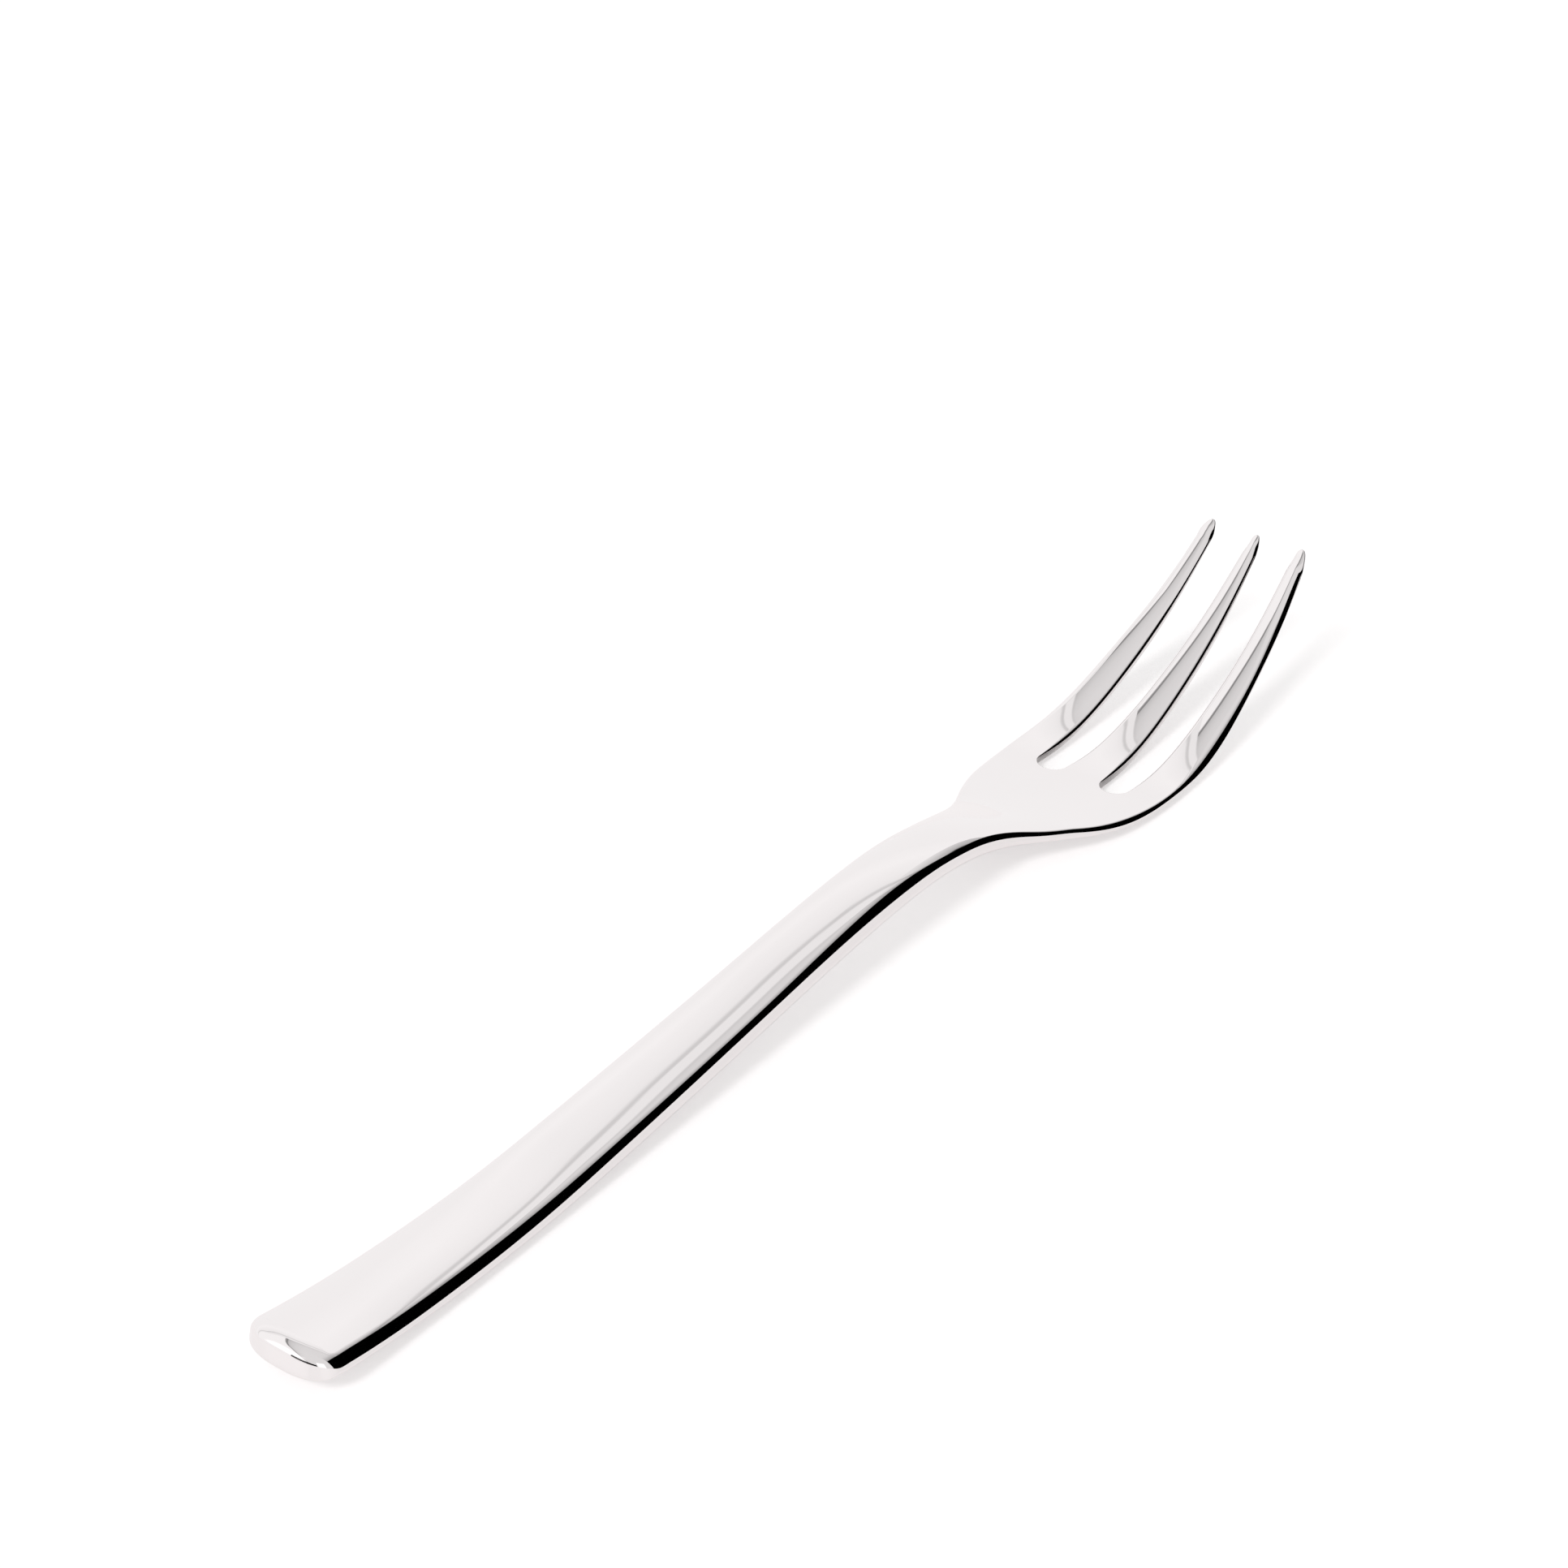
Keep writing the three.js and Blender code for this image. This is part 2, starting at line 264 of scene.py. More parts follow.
def edge_band(points, normals, room, tine=None, radius=edge_radius):
    """The rounded edge from the top sheet round the side to the underside, one row for each outline point.

    It turns with the roll's radius first, then with the edge's, then with the belly's, which fits the
    thickness that is left. At the butt a flat stretch lies in the belly.
    """
    edge = radius(points[:, 0])
    at_butt = 1 - grown(points[:, 0], BUTT_FACE_ENDS)
    roll = edge + (BUTT_ROLL - edge) * at_butt
    flat = BUTT_FLAT * at_butt
    belly = edge.copy()
    squeeze = np.ones(len(points))
    top_tilt = np.zeros(len(points))
    under_tilt = np.zeros(len(points))

    def parts(angle):
        return np.minimum(angle, ROLL_END), np.clip(angle, ROLL_END, EDGE_END), np.maximum(angle, EDGE_END)

    def inset(angle):
        rolled, upper, lower = parts(angle)
        return squeeze * (
            roll * (math.sin(ROLL_END) - np.sin(rolled)) + edge * (math.sin(EDGE_END) - np.sin(upper))
            + belly * (1 - np.sin(lower)) + flat * math.cos(FLAT_AT) * (angle < FLAT_AT))

    def drop(angle):
        rolled, upper, lower = parts(angle)
        return (roll * (1 - np.cos(rolled)) + edge * (math.cos(ROLL_END) - np.cos(upper))
                + belly * (math.cos(EDGE_END) - np.cos(lower)) + flat * math.sin(FLAT_AT) * (angle > FLAT_AT))

    step = 0.01
    for _ in range(EDGE_ROUNDS):
        top_angle = np.arctan(squeeze * np.tan(top_tilt))
        under_angle = math.pi - np.arctan(squeeze * np.tan(under_tilt))
        widest = np.maximum(inset(top_angle), inset(under_angle)) / squeeze
        squeeze = np.minimum(1, room / widest)
        on_top = points + normals * inset(top_angle)[:, None]
        below = points + normals * inset(under_angle)[:, None]
        top_z = top_height(*on_top.T, tine)
        under_z = under_height(*below.T, tine)
        top_tilt = np.arctan((top_height(*(on_top + step * normals).T, tine) - top_z) / step)
        under_tilt = np.arctan((under_z - under_height(*(below + step * normals).T, tine)) / step)
        spent = drop(np.full(len(points), EDGE_END)) - drop(top_angle) + flat * math.sin(FLAT_AT)
        fitting = (top_z - under_z - spent) / (math.cos(EDGE_END) - np.cos(under_angle))
        belly = (belly + np.maximum(THINNEST_BELLY, fitting)) / 2
    shares = [np.linspace(0, 1, count + 1) for count in EDGE_STEPS]
    angles = np.concatenate([
        top_angle[:, None] + (EDGE_END - top_angle)[:, None] * shares[0],
        EDGE_END + (under_angle - EDGE_END)[:, None] * shares[1][1:],
    ], axis=1)
    rows = []
    for angle in angles.T:
        plan = points + normals * inset(angle)[:, None]
        rows.append(np.column_stack([plan, top_z - drop(angle) + drop(top_angle)]))
    rows[-1][:, 2] = under_z
    return np.stack(rows, axis=1)


class Skin:
    """Points and faces of the whole fork, with each face marked by the piece it belongs to."""

    def __init__(self):
        self.points = []
        self.faces = []
        self.marks = []

    def add(self, points):
        """Takes in points and returns their numbers, arranged in the same way."""
        points = np.asarray(points, float)
        first = len(self.points)
        self.points.extend(points.reshape(-1, 3))
        return np.arange(first, len(self.points)).reshape(points.shape[:-1])

    def cover(self, grid, flip, mark):
        """Puts faces on a grid of numbered points."""
        a, b, c, d = grid[:-1, :-1], grid[1:, :-1], grid[1:, 1:], grid[:-1, 1:]
        order = (d, c, b, a) if flip else (a, b, c, d)
        quads = np.stack(order, -1).reshape(-1, 4)
        self.faces.extend(quads.tolist())
        self.marks.extend([mark] * len(quads))


def rows_between(start, stop, spacing=ROW_SPACING):
    """Even places from start to stop, at most a spacing apart."""
    return np.linspace(start, stop, max(2, math.ceil((stop - start) / spacing)) + 1)


def sheet(low, high, shares):
    """A sheet of points between two edges, row by row, seen from above."""
    return low[:, None] + (high - low)[:, None] * shares[None, :, None]


def bent_rows(plan, last_row, row, reach, distance):
    """Bends the rows near one row, so that it becomes the given curve."""
    bend = last_row - plan[row]
    weight = np.clip(1 - distance / reach, 0, 1) ** 2
    return plan + weight[:, None, None] * bend[None]


def lifted(plan, height, tine=None):
    """Points of a plan with their heights added."""
    return np.concatenate([plan, height(plan[..., 0], plan[..., 1], tine)[..., None]], axis=-1)


skin = Skin()

# Outline of the body up to the bottoms of the slots
corner_x = BUTT_ROUND * BUTT_CORNER
corner_share = float(closing(corner_x, BUTT_ROUND, BUTT_FULLNESS))
slot_room = SLOT_HALF + SLOT_MARGIN
branch_x = TINE_AT - slot_room * math.cos(SLOT_TURN)
body_x = np.concatenate([
    corner_x + (BUTT_ROUND - corner_x) * np.linspace(0, 1, END_ROWS + 1) ** END_CROWDING,
    rows_between(BUTT_ROUND, NECK_AT)[1:],
    rows_between(NECK_AT, BASE_AT)[1:],
    rows_between(BASE_AT, branch_x, HEAD_ROW_SPACING)[1:],
])
neck_row = int(np.argmin(np.abs(body_x - NECK_AT)))
base_row = int(np.argmin(np.abs(body_x - BASE_AT)))
branch_row = len(body_x) - 1
body_closing = closing(body_x + BUTT_EDGE_ALLOWANCE, BUTT_ROUND, BUTT_FULLNESS)
body_room = BODY_EDGE_SHARE * half_width(body_x) * np.minimum(1, body_closing)


def left_side(x):
    return x, half_width(x) * closing(x, BUTT_ROUND, BUTT_FULLNESS)


def right_side(x):
    return x, -half_width(x) * closing(x, BUTT_ROUND, BUTT_FULLNESS)


def butt_end(share):
    x = end_inward(share, BUTT_ROUND, BUTT_FULLNESS)
    return x, half_width(x) * share


columns = 3 * TINE_COLUMNS + 2 * SLOT_COLUMNS
end_shares = np.linspace(-corner_share, corner_share, columns + 1)
left_band = edge_band(*along(left_side, body_x, -1), body_room)
right_band = edge_band(*along(right_side, body_x, 1), body_room)
butt_band = edge_band(*along(butt_end, end_shares, -1), np.full(columns + 1, body_room[0]))
butt_band[0] = right_band[0]
butt_band[-1] = left_band[0]

# The rounded bottoms of the slots
slot_angles = np.linspace(-SLOT_TURN, SLOT_TURN, SLOT_COLUMNS + 1)


def slot_bottom(side):
    """Path round a slot's bottom; side is 1 for the left slot and -1 for the right one."""
    return lambda angle: (TINE_AT - SLOT_HALF * np.cos(angle), side * SLOT_MIDDLE + SLOT_HALF * np.sin(angle))


slot_bands = {
    side: edge_band(*along(slot_bottom(side), slot_angles, 1), np.full(SLOT_COLUMNS + 1, SLOT_BOTTOM_ROOM),
                    radius=slot_edge_radius)
    for side in (1, -1)
}

# Sheets of the body, on top and underneath
left_grid = skin.add(left_band[:, 1:-1])
right_grid = skin.add(right_band[:, 1:-1])
butt_inner = skin.add(butt_band[1:-1, 1:-1])
butt_grid = np.concatenate([right_grid[:1], butt_inner, left_grid[:1]])
slot_inner = {side: skin.add(slot_bands[side][:, 1:-1]) for side in (1, -1)}
body_sheets = {}
for name, layer, height in (("top", 0, top_height), ("under", -1, under_height)):
    low = right_band[:, layer, :2]
    high = left_band[:, layer, :2]
    branch_curve = np.concatenate([
        np.linspace(low[-1], slot_bands[-1][0, layer, :2], TINE_COLUMNS + 1)[:-1],
        slot_bands[-1][:, layer, :2],
        np.linspace(slot_bands[-1][-1, layer, :2], slot_bands[1][0, layer, :2], TINE_COLUMNS + 1)[1:-1],
        slot_bands[1][:, layer, :2],
        np.linspace(slot_bands[1][-1, layer, :2], high[-1], TINE_COLUMNS + 1)[1:],
    ])
    shares = (branch_curve[:, 1] - low[-1, 1]) / (high[-1, 1] - low[-1, 1])
    plan = sheet(low, high, shares)
    plan = bent_rows(plan, branch_curve, -1, BRANCH_BEND_REACH, branch_x - body_x)
    plan = bent_rows(plan, butt_band[:, layer, :2], 0, BUTT_BEND_REACH, body_x - corner_x)
    body_sheets[name] = skin.add(lifted(plan, height))

# Faces of the body, piece by piece
body_pieces = [("handle", 0, neck_row), ("neck", neck_row, base_row), ("head_base", base_row, branch_row)]
left_full = np.concatenate([body_sheets["top"][:, -1:], left_grid, body_sheets["under"][:, -1:]], axis=1)
right_full = np.concatenate([body_sheets["top"][:, :1], right_grid, body_sheets["under"][:, :1]], axis=1)
for mark, first, last in body_pieces:
    skin.cover(body_sheets["top"][first:last + 1], False, mark)
    skin.cover(body_sheets["under"][first:last + 1], True, mark)
    skin.cover(left_full[first:last + 1], False, mark)
    skin.cover(right_full[first:last + 1], True, mark)
butt_full = np.concatenate([
    body_sheets["top"][0][:, None], butt_grid, body_sheets["under"][0][:, None]], axis=1)
skin.cover(butt_full, False, "handle")

# The slot bottoms
slot_first = {-1: TINE_COLUMNS, 1: 2 * TINE_COLUMNS + SLOT_COLUMNS}
for side in (1, -1):
    run = slice(slot_first[side], slot_first[side] + SLOT_COLUMNS + 1)
    upper = body_sheets["top"][-1][run][:, None]
    lower = body_sheets["under"][-1][run][:, None]
    skin.cover(np.concatenate([upper, slot_inner[side], lower], axis=1), True, "head_base")

# Tines: the low and the high edge, then what lies beyond each: slot 1 or -1, or None for the outside
turn_angles = np.linspace(SLOT_TURN, math.pi / 2, TURN_ROWS + 1)[1:]
turn_x = TINE_AT - slot_room * np.cos(turn_angles)
turn_x[-1] = TINE_AT
tines = {
    "tine_right": (lambda x: -half_width(x), lambda x: -inner_edge(x), None, -1),
    "tine_middle": (lambda x: -middle_half(x), middle_half, -1, 1),
    "tine_left": (inner_edge, half_width, 1, None),
}
tine_columns = {
    "tine_right": slice(0, TINE_COLUMNS + 1),
    "tine_middle": slice(TINE_COLUMNS + SLOT_COLUMNS, 2 * TINE_COLUMNS + SLOT_COLUMNS + 1),
    "tine_left": slice(2 * (TINE_COLUMNS + SLOT_COLUMNS), columns + 1),
}
tip_corner = LENGTH - TIP_ROUND * TIP_CORNER
tip_share = float(closing(LENGTH - tip_corner, TIP_ROUND, TIP_FULLNESS))
tip_crowding = 1 - (1 - np.linspace(0, 1, END_ROWS + 1)[1:]) ** END_CROWDING
straight = np.concatenate([
    rows_between(TINE_AT, LENGTH - TIP_ROUND)[1:],
    LENGTH - TIP_ROUND + (TIP_ROUND - (LENGTH - tip_corner)) * tip_crowding,
])
tip_closing = closing(LENGTH - straight + TIP_EDGE_ALLOWANCE, TIP_ROUND, TIP_FULLNESS)
tip_shares = np.linspace(-tip_share, tip_share, TINE_COLUMNS + 1)
tine_x = np.concatenate([turn_x, straight])
tine_rings = {}
for name, (low_edge, high_edge, low_slot, high_slot) in tines.items():
    def middle(x):
        return (low_edge(x) + high_edge(x)) / 2

    def half(x):
        return (high_edge(x) - low_edge(x)) / 2

    def side_path(sign):
        return lambda x: (x, middle(x) + sign * half(x) * closing(LENGTH - x, TIP_ROUND, TIP_FULLNESS))

    def tip_path(share):
        x = LENGTH - end_inward(share, TIP_ROUND, TIP_FULLNESS)
        return x, middle(x) + half(x) * share

    room = TINE_EDGE_SHARE * half(straight) * np.minimum(1, tip_closing)
    bands = {}
    for sign, slot_side in ((-1, low_slot), (1, high_slot)):
        straight_outline, straight_inward = along(side_path(sign), straight, -sign)
        if slot_side is None:
            turn_outline, turn_inward = along(side_path(sign), turn_x, -sign)
        else:
            angles = turn_angles if sign < 0 else -turn_angles
            turn_outline, turn_inward = along(slot_bottom(slot_side), angles, 1)
        outline = np.concatenate([turn_outline, straight_outline])
        inward = np.concatenate([turn_inward, straight_inward])
        rooms = np.concatenate([np.full(len(turn_angles), SLOT_SIDE_ROOM), room])
        radius = edge_radius if slot_side is None else slot_edge_radius
        bands[sign] = edge_band(outline, inward, rooms, middle, radius)
    tip_band = edge_band(*along(tip_path, tip_shares, 1), np.full(TINE_COLUMNS + 1, room[-1]), middle)
    tip_band[0] = bands[-1][-1]
    tip_band[-1] = bands[1][-1]
    run = tine_columns[name]
    tip_inner = skin.add(tip_band[1:-1, 1:-1])
    grids = {}
    for sign, slot_side in ((-1, low_slot), (1, high_slot)):
        if slot_side is None:
            start = left_grid[-1:] if sign > 0 else right_grid[-1:]
        else:
            start = slot_inner[slot_side][-1:] if sign < 0 else slot_inner[slot_side][:1]
        grids[sign] = np.concatenate([start, skin.add(bands[sign][:, 1:-1])])
    tip_grid = np.concatenate([grids[-1][-1:], tip_inner, grids[1][-1:]])
    sheets = {}
    shares = np.linspace(0, 1, TINE_COLUMNS + 1)
    for key, layer, height in (("top", 0, top_height), ("under", -1, under_height)):
        plan = sheet(bands[-1][:, layer, :2], bands[1][:, layer, :2], shares)
        plan = bent_rows(plan, tip_band[:, layer, :2], -1, TIP_BEND_REACH, tip_corner - tine_x)
        sheets[key] = np.concatenate([body_sheets[key][-1:, run], skin.add(lifted(plan, height, middle))])
    high_full = np.concatenate([sheets["top"][:, -1:], grids[1], sheets["under"][:, -1:]], axis=1)
    low_full = np.concatenate([sheets["top"][:, :1], grids[-1], sheets["under"][:, :1]], axis=1)
    cut = len(turn_x)
    for mark, first, last in (("head_base", 0, cut), (name, cut, len(tine_x))):
        skin.cover(sheets["top"][first:last + 1], False, mark)
        skin.cover(sheets["under"][first:last + 1], True, mark)
        skin.cover(high_full[first:last + 1], False, mark)
        skin.cover(low_full[first:last + 1], True, mark)
    tip_full = np.concatenate([sheets["top"][-1][:, None], tip_grid, sheets["under"][-1][:, None]], axis=1)
    skin.cover(tip_full, True, name)
    tine_rings[name] = (sheets["top"][cut], sheets["under"][cut], high_full[cut], low_full[cut])

points = np.array(skin.points)
faces = np.array(skin.faces)
marks = np.array(skin.marks)

# Smooth normals of the whole fork, so that its pieces meet with no seam
across = np.cross(points[faces[:, 2]] - points[faces[:, 0]], points[faces[:, 3]] - points[faces[:, 1]])
vertex_normals = np.zeros_like(points)
for corner in range(4):
    np.add.at(vertex_normals, faces[:, corner], across)
vertex_normals /= np.linalg.norm(vertex_normals, axis=1, keepdims=True)


def cap(ring, flip):
    """Faces that close a cut: upper and lower points joined across it, edges included."""
    upper, lower, high, low = ring
    up = np.concatenate([low[:len(low) // 2 + 1][::-1], upper[1:-1], high[:len(high) // 2 + 1]])
    down = np.concatenate([low[(len(low) - 1) // 2:], lower[1:-1], high[(len(high) - 1) // 2:][::-1]])
    pairs = []
    for i in range(len(up) - 1):
        quad = [up[i], down[i], down[i + 1], up[i + 1]]
        distinct = list(dict.fromkeys(quad))
        if len(distinct) > 2:
            pairs.append(distinct[::-1] if flip else distinct)
    return pairs


def whole_ring(row):
    """Points round the body at a row, as cap() takes them."""
    return body_sheets["top"][row], body_sheets["under"][row], left_full[row], right_full[row]


# Each piece ends in a flat cap where it meets its neighbour; +1 faces the points, -1 the butt
caps = {
    "handle": [(whole_ring(neck_row), 1)],
    "neck": [(whole_ring(neck_row), -1), (whole_ring(base_row), 1)],
    "head_base": [(whole_ring(base_row), -1)] + [(ring, 1) for ring in tine_rings.values()],
}
for name, ring in tine_rings.items():
    caps[name] = [(ring, -1)]


def calculate(tree, operation, *values):
    """A math node of a shader tree, fed with numbers or with the outputs of other nodes."""
    node = tree.nodes.new("ShaderNodeMath")
    node.operation = operation
    for socket, value in zip(node.inputs, values):
        if isinstance(value, bpy.types.NodeSocket):
            tree.links.new(value, socket)
        else:
            socket.default_value = value
    return node.outputs[0]


def ray_kinds(tree):
    """Two switches: for rays from the camera, through glass too, and for rays that a mirror sends on."""
    path = tree.nodes.new("ShaderNodeLightPath")
    seen = calculate(tree, "MAXIMUM", path.outputs["Is Camera Ray"], path.outputs["Is Transmission Ray"])
    return seen, path.outputs["Is Glossy Ray"]


def make_steel():
    """Mirror-polished stainless steel: bright, with a faint uneven gloss, hairline polishing marks and
    painted shade at the slots' roots.
    """
    material = bpy.data.materials.new("polished_steel")
    material.use_nodes = True
    tree = material.node_tree
    nodes = tree.nodes
    links = tree.links
    place = nodes.new("ShaderNodeTexCoord").outputs["Object"]

    def noise(scale, detail, vector):
        node = nodes.new("ShaderNodeTexNoise")
        node.inputs["Scale"].default_value = scale
        node.inputs["Detail"].default_value = detail
        links.new(vector, node.inputs["Vector"])
        return node.outputs["Fac"]

    def remap(value, low, high, start=0.0, end=1.0):
        node = nodes.new("ShaderNodeMapRange")
        node.inputs["From Min"].default_value = start
        node.inputs["From Max"].default_value = end
        node.inputs["To Min"].default_value = low
        node.inputs["To Max"].default_value = high
        links.new(value, node.inputs["Value"])
        return node.outputs["Result"]

    shader = nodes["Principled BSDF"]
    shader.inputs["Metallic"].default_value = 1.0
    tint = nodes.new("ShaderNodeMix")
    tint.data_type = "RGBA"
    tint.inputs["A"].default_value = STEEL_DARKER
    tint.inputs["B"].default_value = STEEL_LIGHTER
    links.new(noise(*TINT_NOISE, place), tint.inputs["Factor"])
    # The upright walls at the slots' roots get painted shade in their colour and a rougher gloss
    spot = nodes.new("ShaderNodeSeparateXYZ")
    links.new(place, spot.inputs[0])
    tilt = nodes.new("ShaderNodeSeparateXYZ")
    links.new(nodes.new("ShaderNodeNewGeometry").outputs["Normal"], tilt.inputs[0])
    upright = remap(calculate(tree, "ABSOLUTE", tilt.outputs["Z"]), 0.0, 1.0, *SLOT_WALL_TILT)
    near_root = remap(spot.outputs["X"], 1.0, 0.0, *SHADED_WALL_ENDS)
    in_slot = calculate(tree, "LESS_THAN", calculate(tree, "ABSOLUTE", spot.outputs["Y"]), SLOT_REACH)
    past_neck = calculate(tree, "GREATER_THAN", spot.outputs["X"], SLOTS_AFTER)
    shaded_wall = calculate(tree, "MULTIPLY", calculate(tree, "MULTIPLY", upright, near_root),
                     calculate(tree, "MULTIPLY", in_slot, past_neck))
    # Painted shade: on those walls the colour is mixed towards the darker slot-wall steel
    wall_shade = nodes.new("ShaderNodeMix")
    wall_shade.data_type = "RGBA"
    wall_shade.inputs["B"].default_value = SLOT_WALL_SHADE_COLOUR
    links.new(shaded_wall, wall_shade.inputs["Factor"])
    links.new(tint.outputs["Result"], wall_shade.inputs["A"])
    links.new(wall_shade.outputs["Result"], shader.inputs["Base Color"])
    gloss = remap(noise(*GLOSS_NOISE, place), *STEEL_ROUGHNESS)
    roughness = calculate(tree, "ADD", gloss, calculate(tree, "MULTIPLY", shaded_wall, SLOT_WALL_ROUGHNESS))
    links.new(roughness, shader.inputs["Roughness"])
    stretch = nodes.new("ShaderNodeMapping")
    stretch.inputs["Scale"].default_value = POLISHING_STRETCH
    links.new(place, stretch.inputs["Vector"])
    hairlines = nodes.new("ShaderNodeBump")
    hairlines.inputs["Strength"].default_value = POLISHING_STRENGTH
    hairlines.inputs["Distance"].default_value = POLISHING_DEPTH
    links.new(noise(*POLISHING_NOISE, stretch.outputs["Vector"]), hairlines.inputs["Height"])
    links.new(hairlines.outputs["Normal"], shader.inputs["Normal"])
    return material


steel = make_steel()
for name in ["handle", "neck", "head_base", "tine_left", "tine_middle", "tine_right"]:
    own_faces = [list(face) for face in faces[marks == name]]
    cap_from = len(own_faces)
    cap_facing = []
    for ring, facing in caps[name]:
        closing_faces = cap(ring, facing < 0)
        own_faces.extend(closing_faces)
        cap_facing.extend([facing] * len(closing_faces))
    used = sorted({int(i) for face in own_faces for i in face})
    renumbered = {old: new for new, old in enumerate(used)}
    local = (points[used] - [LENGTH / 2, 0, 0]) * MM
    mesh = bpy.data.meshes.new(name + "_skin")
    corners = [[renumbered[int(i)] for i in face] for face in own_faces]
    mesh.from_pydata([tuple(point) for point in local], [], corners)
    mesh.polygons.foreach_set("use_smooth", [True] * len(mesh.polygons))
    loop_normals = []
    for index, face in enumerate(own_faces):
        for corner in face:
            if index < cap_from:
                loop_normals.append(tuple(vertex_normals[corner]))
            else:
                loop_normals.append((cap_facing[index - cap_from], 0, 0))
    mesh.normals_split_custom_set(loop_normals)
    mesh.materials.append(steel)
    piece = bpy.data.objects.new(name + "_skin", mesh)
    bpy.context.scene.collection.objects.link(piece)
    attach(piece, "root")
    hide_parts(name)

# The table: pale and matt, lifted by a glow of its own, with a faint sheen that only the steel mirrors
FLOOR_HALF = 3.0
FLOOR_COLOUR = (0.8, 0.784, 0.783, 1)
SEEN_LIFT = 0.375
MIRRORED_LIFT = 0.26
SHEEN_ROUGHNESS = 0.1
SHEEN_INDEX = 1.45
SHEEN_LIMIT = 0.08
floor_mesh = bpy.data.meshes.new("floor")
floor_mesh.from_pydata(
    [(-FLOOR_HALF, -FLOOR_HALF, 0), (FLOOR_HALF, -FLOOR_HALF, 0), (FLOOR_HALF, FLOOR_HALF, 0),
     (-FLOOR_HALF, FLOOR_HALF, 0)], [], [(0, 1, 2, 3)])
floor = bpy.data.objects.new("floor", floor_mesh)
bpy.context.scene.collection.objects.link(floor)
table = bpy.data.materials.new("table")
table.use_nodes = True
tree = table.node_tree
tree.nodes.remove(tree.nodes["Principled BSDF"])
seen, mirrored = ray_kinds(tree)
matt = tree.nodes.new("ShaderNodeBsdfDiffuse")
matt.inputs["Color"].default_value = FLOOR_COLOUR
lift = tree.nodes.new("ShaderNodeEmission")
glow = calculate(tree, "ADD", calculate(tree, "MULTIPLY", seen, SEEN_LIFT),
                 calculate(tree, "MULTIPLY", mirrored, MIRRORED_LIFT))
tree.links.new(glow, lift.inputs["Strength"])
lifted_matt = tree.nodes.new("ShaderNodeAddShader")
tree.links.new(matt.outputs[0], lifted_matt.inputs[0])
tree.links.new(lift.outputs[0], lifted_matt.inputs[1])
sheen = tree.nodes.new("ShaderNodeBsdfGlossy")
sheen.inputs["Color"].default_value = (1, 1, 1, 1)
sheen.inputs["Roughness"].default_value = SHEEN_ROUGHNESS
fresnel = tree.nodes.new("ShaderNodeFresnel")
fresnel.inputs["IOR"].default_value = SHEEN_INDEX
sheen_share = calculate(tree, "MINIMUM", fresnel.outputs[0], SHEEN_LIMIT)
coated = tree.nodes.new("ShaderNodeMixShader")
tree.links.new(calculate(tree, "MULTIPLY", sheen_share, mirrored), coated.inputs[0])
tree.links.new(lifted_matt.outputs[0], coated.inputs[1])
tree.links.new(sheen.outputs[0], coated.inputs[2])
tree.links.new(coated.outputs[0], tree.nodes["Material Output"].inputs["Surface"])
floor_mesh.materials.append(table)

# The studio that the steel mirrors has white walls and a grey panel overhead with a pale border and a seam
PANEL_TURN = math.radians(27.9)
PANEL_FRONT = 0.63
PANEL_SKEW = 0.2
PANEL_SPAN = 2.0
PANEL_GREYS = [
    (0.0, 0.79), (0.45, 0.77), (0.58, 0.73), (0.60, 0.68), (0.615, 0.68), (0.635, 0.90), (0.74, 0.90),
    (0.765, 0.68), (0.79, 0.68), (0.83, 0.91), (0.95, 0.95), (1.3, 1.0), (1.9, 0.97),
]
PANEL_SIDE = [(0.0, 0.0), (0.575, 0.0), (0.585, 1.0)]
SEAM_GREYS = [
    (0.0, 1.0), (0.26, 1.0), (0.42, 0.94), (0.50, 0.86), (0.55, 0.75), (0.562, 0.34), (0.594, 0.34),
    (0.604, 1.0),
]

# On the right a tall black flag stands, and the panel grows dimmer towards it
FLAG_TURN = math.radians(-70)
FLAG_LEFT = math.tan(math.radians(75))
FLAG_RIGHT = -math.tan(math.radians(30))
FLAG_GREYS = [
    (0.0, 1.0), (0.2, 0.97), (0.33, 0.86), (0.45, 0.72), (0.55, 0.61), (0.66, 0.50), (0.71, 0.02),
    (0.73, 0.0),
]

# Behind the butt there are a low dark strip, a soft lamp and a small bright spark
STRIP_TURN = math.radians(-177)
STRIP_HALF = math.tan(math.radians(26))
STRIP_HEIGHT = 0.32
LAMP_TURN = math.radians(155)
LAMP_HALF = math.tan(math.radians(24))
LAMP_SOFTNESS = 0.1
LAMP_ACROSS = [(0.0, 1.0), (LAMP_HALF - LAMP_SOFTNESS, 1.0), (LAMP_HALF + LAMP_SOFTNESS, 0.0)]
LAMP_RISE_SPAN = 2.0
LAMP_RISE = [(0.0, 0.0), (0.14, 0.0), (0.17, 1.0), (0.8, 1.0), (1.2, 0.0)]
LAMP_EXTRA = 0.25
SPARK_TURN = math.radians(-137)
SPARK_HALF = math.tan(math.radians(12))
SPARK_HEIGHT = 0.75
SPARK_LIGHT = 1.15

# Directions are kept this far from the horizon and from a wall's own plane
GRAZING = 0.02

# The light that the studio gives to what is matt
AMBIENT = 0.65

world = bpy.data.worlds.new("studio")
world.use_nodes = True
bpy.context.scene.world = world
air = world.node_tree
split = air.nodes.new("ShaderNodeSeparateXYZ")
air.links.new(air.nodes.new("ShaderNodeTexCoord").outputs["Generated"], split.inputs[0])
east, north, up = split.outputs


def towards(turn):
    """How far a direction points towards a turn round the vertical."""
    return calculate(air, "ADD", calculate(air, "MULTIPLY", east, math.cos(turn)),
                     calculate(air, "MULTIPLY", north, math.sin(turn)))


def overhead(turn):
    """How far towards a turn a direction meets a ceiling of height one."""
    return calculate(air, "DIVIDE", towards(turn), calculate(air, "MAXIMUM", up, GRAZING))


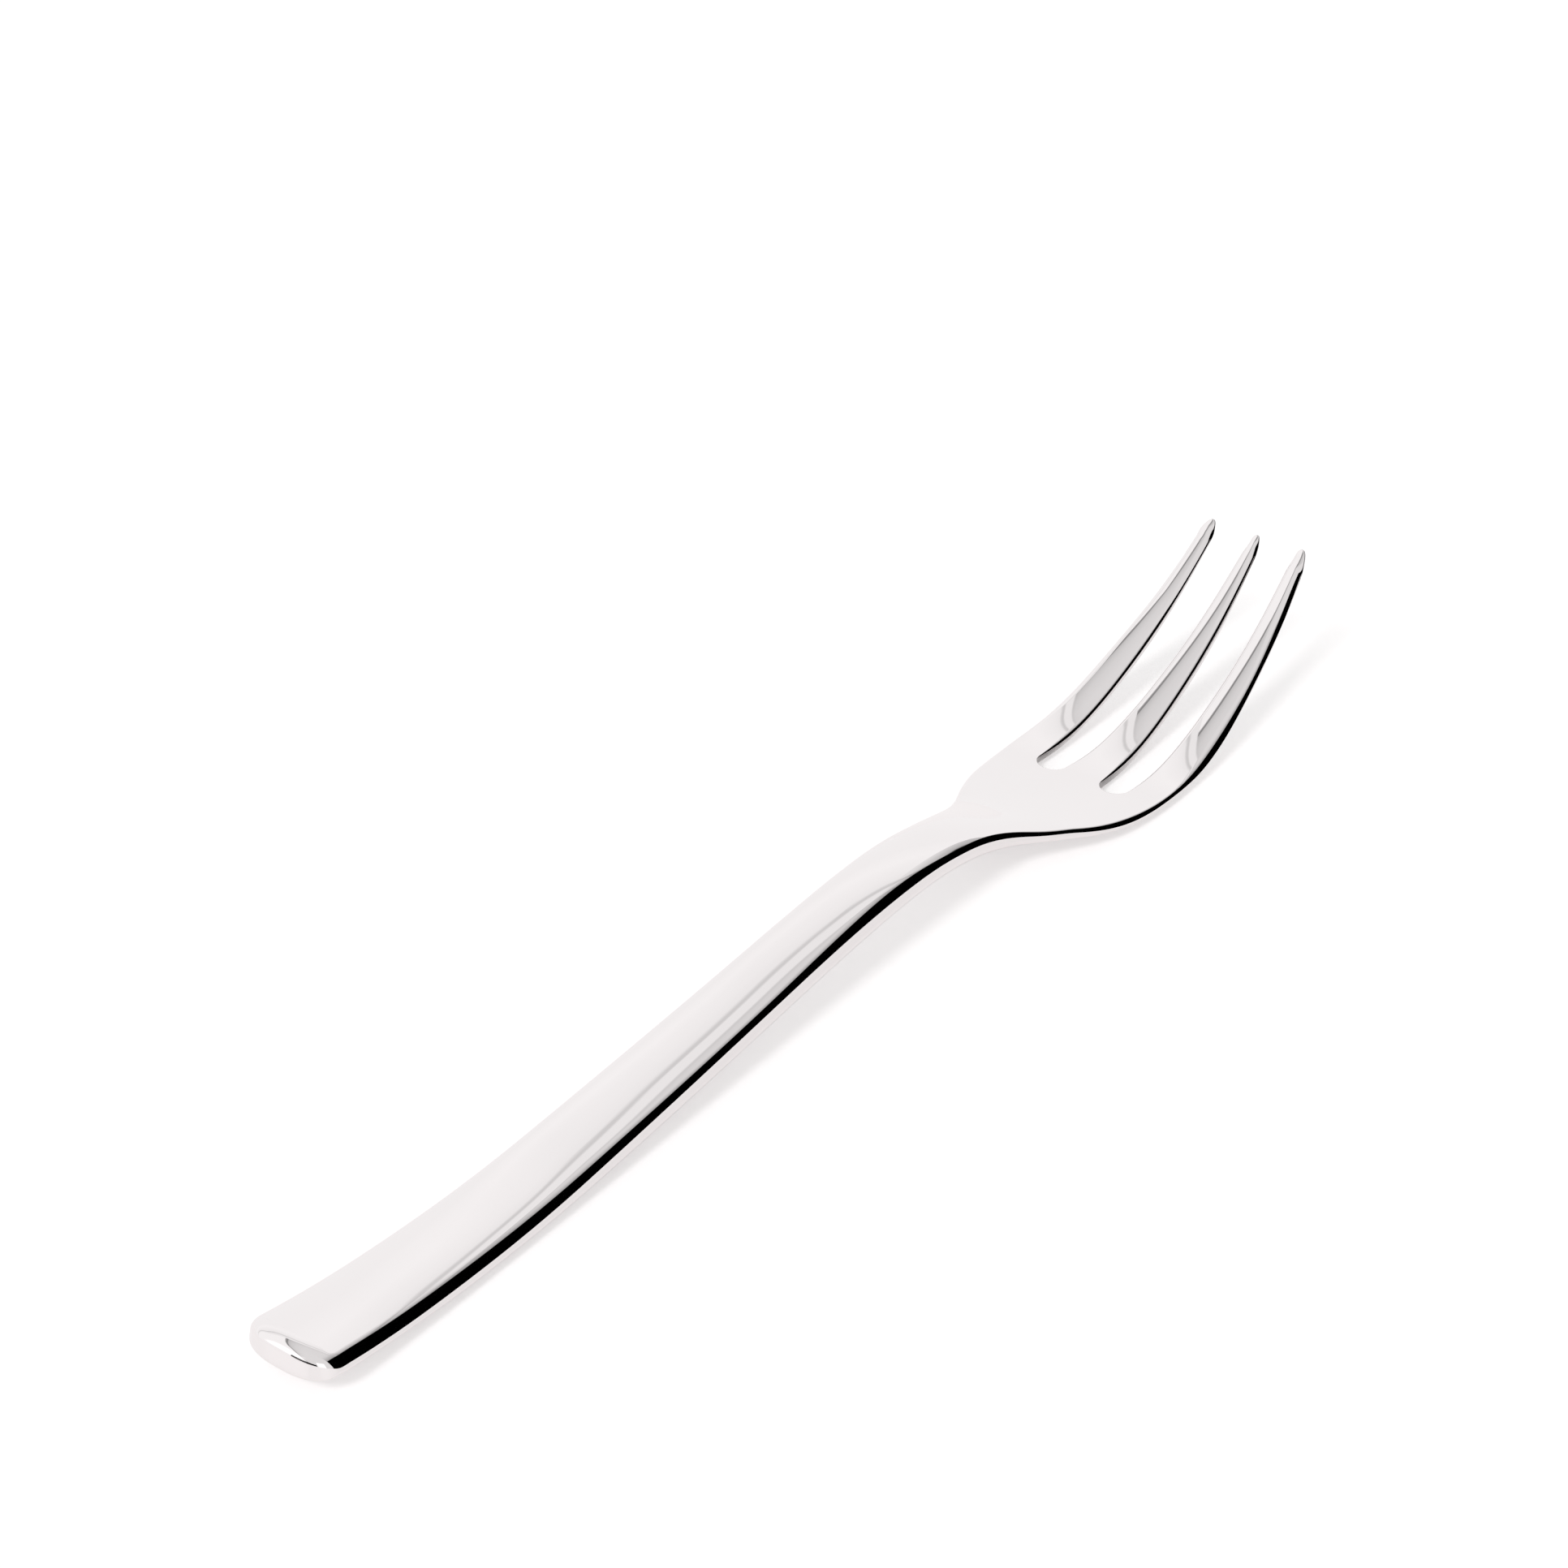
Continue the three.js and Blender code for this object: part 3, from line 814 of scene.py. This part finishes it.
def wall_side(turn):
    """How far to the left a direction meets a wall that stands at a turn, at a distance of one."""
    outward = calculate(air, "MAXIMUM", towards(turn), GRAZING)
    return calculate(air, "DIVIDE", towards(turn + math.pi / 2), outward)


def wall_height(turn):
    """How high up a direction meets that wall."""
    return calculate(air, "DIVIDE", up, calculate(air, "MAXIMUM", towards(turn), GRAZING))


def ramp(value, stops, span=1.0):
    """Grey steps along a value that runs from zero to span."""
    node = air.nodes.new("ShaderNodeValToRGB")
    air.links.new(calculate(air, "DIVIDE", value, span), node.inputs["Fac"])
    elements = node.color_ramp.elements
    while len(elements) > 1:
        elements.remove(elements[-1])
    for index, (place, grey) in enumerate(stops):
        element = elements[0] if index == 0 else elements.new(place / span)
        element.position = place / span
        element.color = (grey, grey, grey, 1)
    return node.outputs["Color"]


def blend(low, high, share):
    """From low to high as share goes from zero to one."""
    change = calculate(air, "SUBTRACT", high, low)
    return calculate(air, "ADD", low, calculate(air, "MULTIPLY", share, change))


def both(first, second):
    return calculate(air, "MULTIPLY", first, second)


def low_patch(turn, half, height):
    """One inside a patch that stands on the horizon at a turn, otherwise zero."""
    inside = calculate(air, "LESS_THAN", calculate(air, "ABSOLUTE", wall_side(turn)), half)
    return both(inside, calculate(air, "LESS_THAN", wall_height(turn), height))


# The overhead panel
ahead = overhead(PANEL_TURN)
skewed = calculate(air, "MULTIPLY", ahead, PANEL_SKEW)
aside = calculate(air, "ADD", overhead(PANEL_TURN + math.pi / 2), skewed)
under_panel = calculate(air, "LESS_THAN", ahead, PANEL_FRONT)
beside_panel = both(under_panel, ramp(aside, PANEL_SIDE))
panel = blend(ramp(ahead, PANEL_GREYS, PANEL_SPAN), 1.0, beside_panel)
panel = both(panel, blend(1.0, ramp(aside, SEAM_GREYS), under_panel))

# The flag
sideways = wall_side(FLAG_TURN)
flagged = both(calculate(air, "LESS_THAN", sideways, FLAG_LEFT),
               calculate(air, "GREATER_THAN", sideways, FLAG_RIGHT))
flagged = both(flagged, calculate(air, "GREATER_THAN", towards(FLAG_TURN), GRAZING))
studio = both(panel, blend(1.0, ramp(overhead(FLAG_TURN), FLAG_GREYS), flagged))

# The strip, the lamp and the spark
strip = low_patch(STRIP_TURN, STRIP_HALF, STRIP_HEIGHT)
studio = both(studio, calculate(air, "SUBTRACT", 1.0, strip))
lamp = both(ramp(calculate(air, "ABSOLUTE", wall_side(LAMP_TURN)), LAMP_ACROSS),
            ramp(wall_height(LAMP_TURN), LAMP_RISE, LAMP_RISE_SPAN))
studio = calculate(air, "ADD", studio, calculate(air, "MULTIPLY", lamp, LAMP_EXTRA))
studio = blend(studio, SPARK_LIGHT, low_patch(SPARK_TURN, SPARK_HALF, SPARK_HEIGHT))

# Mirrors see the studio, the camera sees plain white, and all else gets the ambient light
seen, mirrored = ray_kinds(air)
plain = blend(AMBIENT, 1.0, seen)
air.nodes["Background"].inputs["Color"].default_value = (1, 1, 1, 1)
air.links.new(blend(plain, studio, mirrored), air.nodes["Background"].inputs["Strength"])


def downward(fall, turn):
    """Direction that falls by an angle, at a turn round the vertical."""
    return Vector((math.cos(fall) * math.cos(turn), math.cos(fall) * math.sin(turn), -math.sin(fall)))


# A soft key light from over the butt
KEY_FALL = math.radians(43.5)
KEY_TURN = math.radians(6.5)
KEY_ANGLE = math.radians(15)
KEY_ENERGY = 1.08
key_data = bpy.data.lights.new("key", "SUN")
key_data.angle = KEY_ANGLE
key_data.energy = KEY_ENERGY
key = bpy.data.objects.new("key", key_data)
key.rotation_euler = downward(KEY_FALL, KEY_TURN).to_track_quat("-Z", "Y").to_euler()
key.visible_glossy = False
bpy.context.scene.collection.objects.link(key)

# The camera looks down on the fork from behind the butt's right-hand side
VIEW_FALL = math.radians(32.065)
VIEW_TURN = math.radians(37.641)
VIEW_DISTANCE = 0.49743
LOOK_AT = Vector((0.02975, 0.0292, 0))
SENSOR_WIDTH = 36
LENS = 93.18
forward = downward(VIEW_FALL, VIEW_TURN)
camera_data = bpy.data.cameras.new("camera")
camera_data.sensor_width = SENSOR_WIDTH
camera_data.lens = LENS
camera = bpy.data.objects.new("camera", camera_data)
camera.location = LOOK_AT - VIEW_DISTANCE * forward
camera.rotation_euler = forward.to_track_quat("-Z", "Y").to_euler()
bpy.context.scene.collection.objects.link(camera)
bpy.context.scene.camera = camera

bpy.context.scene.view_settings.view_transform = "Standard"
